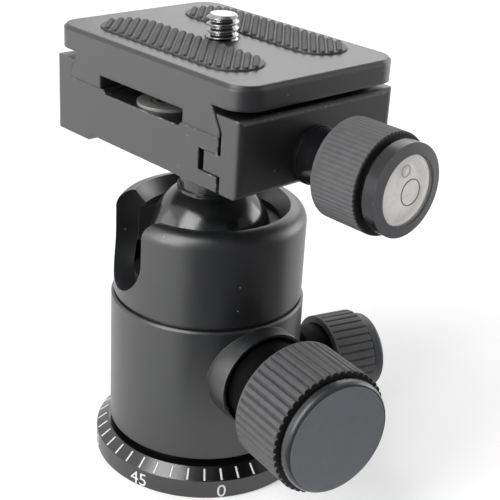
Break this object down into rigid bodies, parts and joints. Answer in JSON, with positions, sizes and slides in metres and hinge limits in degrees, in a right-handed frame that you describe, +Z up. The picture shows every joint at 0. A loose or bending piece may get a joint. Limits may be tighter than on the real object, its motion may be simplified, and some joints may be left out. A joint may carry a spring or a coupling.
{
  "type": "tripod ball head",
  "caption": "Ball head for a tripod: graduated panning base, round housing with a drop notch, black ball, dovetail clamp and quick-release plate with a camera screw.",
  "frame": {"origin": "centre of the pan base's underside, on the pan axis, at the mouth of the tripod socket", "axes": "+Z up along the pan axis, +X along the main lock knob's axis, away from the housing; the drop notch lies 102 degrees clockwise from +X and the pan lock knob 83 degrees anticlockwise, seen from above"},
  "size_m": [0.0803, 0.0653, 0.0948],
  "materials": {
    "black_anodised": "fine-blasted black anodised aluminium, edges lightly worn",
    "satin_black": "satin black anodised cap with a softly shining rounded edge",
    "ball_black": "turned ball and stem, polished and glossy black",
    "gloss_black": "moulded glossy black ring",
    "knob_plastic": "moulded black knob core",
    "rubber": "ribbed black rubber, slightly dusty",
    "nylon": "black nylon slip washer",
    "acetal": "black acetal, turned",
    "brass": "turned brass",
    "steel": "plain steel",
    "dark_steel": "blackened steel",
    "chrome": "bright plated steel",
    "vial_white": "pale level vial with a dark circle and a bubble",
    "clear_window": "clear window of the level"
  },
  "bodies": {
    "pan_base": {"pan_base": "black_anodised", "tripod_bush": "brass", "pan_washer": "nylon"},
    "housing": {"housing": "black_anodised", "shell": "black_anodised", "grub_screws": "dark_steel", "race": "acetal", "lock_bush": "steel"},
    "lower_seat": {"lower_seat": "acetal"},
    "lock_plunger": {"lock_plunger": "brass"},
    "lock_knob": {"lock_stud": "steel", "lock_hub": "knob_plastic", "lock_grip": "rubber", "lock_cap": "satin_black", "lock_screw": "steel"},
    "pan_shoe": {"pan_shoe": "brass"},
    "pan_knob": {"pan_stud": "steel", "pan_hub": "knob_plastic", "pan_grip": "rubber", "pan_cap": "satin_black"},
    "ball": {"ball": "ball_black"},
    "clamp": {"clamp_bed": "black_anodised", "clamp_bolt": "dark_steel", "guide_pins": "steel", "floor_screws": "steel"},
    "clamp_jaw": {"clamp_jaw": "black_anodised"},
    "clamp_knob": {"draw_screw": "steel", "draw_clip": "dark_steel", "clamp_washer": "dark_steel", "clamp_hub": "knob_plastic", "clamp_grip": "rubber", "level_housing": "gloss_black", "level_vial": "vial_white", "level_window": "clear_window"},
    "plate": {"plate": "black_anodised", "pads": "rubber"},
    "camera_screw": {"camera_screw": "chrome"}
  },
  "joints": [
    {"name": "pan", "type": "hinge", "parent": "pan_base", "child": "housing", "pos_m": [0, 0, 0.0139], "axis": [0, 0, 1], "continuous": true},
    {"name": "ball_tilt", "type": "hinge", "parent": "housing", "child": "ball", "pos_m": [0, 0, 0.0494], "axis": [0.9781, -0.2079, 0], "range_deg": [-40, 90]},
    {"name": "clamp_turn", "type": "hinge", "parent": "ball", "child": "clamp", "pos_m": [0, 0, 0.0644], "axis": [0, 0, 1], "continuous": true},
    {"name": "lock_knob_turn", "type": "hinge", "parent": "lock_plunger", "child": "lock_knob", "pos_m": [0.03, 0, 0.0264], "axis": [1, 0, 0], "range_deg": [0, 270]},
    {"name": "lock_travel", "type": "slide", "parent": "housing", "child": "lock_plunger", "axis": [1, 0, 0], "range_m": [0, 0.000937]},
    {"name": "seat_drop", "type": "slide", "parent": "housing", "child": "lower_seat", "axis": [0, 0, -1], "range_m": [0, 0.00045]},
    {"name": "pan_knob_turn", "type": "hinge", "parent": "pan_shoe", "child": "pan_knob", "pos_m": [0.00341, 0.02779, 0.0139], "axis": [0.1219, 0.9925, 0], "range_deg": [0, 270]},
    {"name": "pan_shoe_travel", "type": "slide", "parent": "housing", "child": "pan_shoe", "axis": [0.1219, 0.9925, 0], "range_m": [0, 0.000599]},
    {"name": "clamp_knob_turn", "type": "hinge", "parent": "clamp_jaw", "child": "clamp_knob", "pos_m": [0.02963, 0.00469, 0.07505], "axis": [0.9877, 0.1564, 0], "range_deg": [-108.2, 1080.2]},
    {"name": "jaw_slide", "type": "slide", "parent": "clamp", "child": "clamp_jaw", "axis": [0.9877, 0.1564, 0], "range_m": [-0.0003, 0.003]},
    {"name": "plate_slide", "type": "slide", "parent": "clamp", "child": "plate", "axis": [-0.1564, 0.9877, 0], "range_m": [-0.036, 0.036]},
    {"name": "camera_screw_turn", "type": "hinge", "parent": "plate", "child": "camera_screw", "pos_m": [-0.00126, 0.00157, 0.0901], "axis": [0, 0, 1], "continuous": true}
  ],
  "couplings": [
    {"joint": "lock_knob_turn", "follows": "lock_travel", "rad_per_m": 5026.5},
    {"joint": "seat_drop", "follows": "lock_travel", "ratio": 0.46631},
    {"joint": "pan_knob_turn", "follows": "pan_shoe_travel", "rad_per_m": 7854},
    {"joint": "clamp_knob_turn", "follows": "jaw_slide", "rad_per_m": 6283.2}
  ]
}
